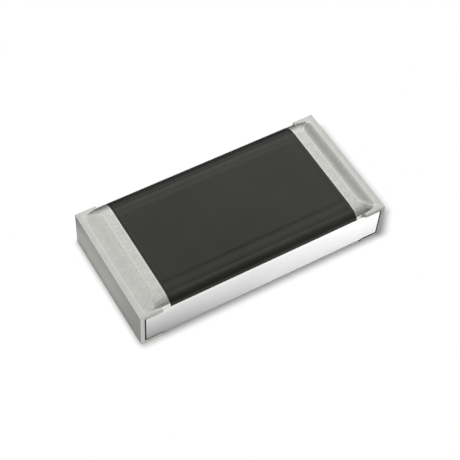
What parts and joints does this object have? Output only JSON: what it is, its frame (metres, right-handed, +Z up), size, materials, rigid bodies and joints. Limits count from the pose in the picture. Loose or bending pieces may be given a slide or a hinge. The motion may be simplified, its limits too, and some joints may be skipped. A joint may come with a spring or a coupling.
{
  "type": "chip resistor",
  "caption": "Flat rectangular thick-film chip resistor: white ceramic body, black domed overcoat and a C-shaped plated cap on each end.",
  "frame": {"origin": "centre of the underside, in the plane of the two solder faces", "axes": "+X along the length, +Y across the width, +Z up through the overcoat"},
  "size_m": [0.0032, 0.0016, 0.0006],
  "materials": {
    "alumina": "fired, matt",
    "black_coat": "glossy",
    "tin": "satin tin plating",
    "nickel": "plated nickel",
    "silver": "fired silver paste",
    "resistive_film": "fired, matt",
    "glass_glaze": "fired glass"
  },
  "bodies": {
    "root": {"ceramic_substrate": "alumina", "bottom_electrode_left": "silver", "bottom_electrode_right": "silver", "top_electrode_left": "silver", "top_electrode_right": "silver", "upper_electrode_left": "silver", "upper_electrode_right": "silver", "end_electrode_left": "silver", "end_electrode_right": "silver", "resistor_film": "resistive_film", "glass_coat": "glass_glaze", "overcoat": "black_coat", "nickel_barrier_left": "nickel", "nickel_barrier_right": "nickel", "tin_plating_left": "tin", "tin_plating_right": "tin"}
  },
  "joints": []
}
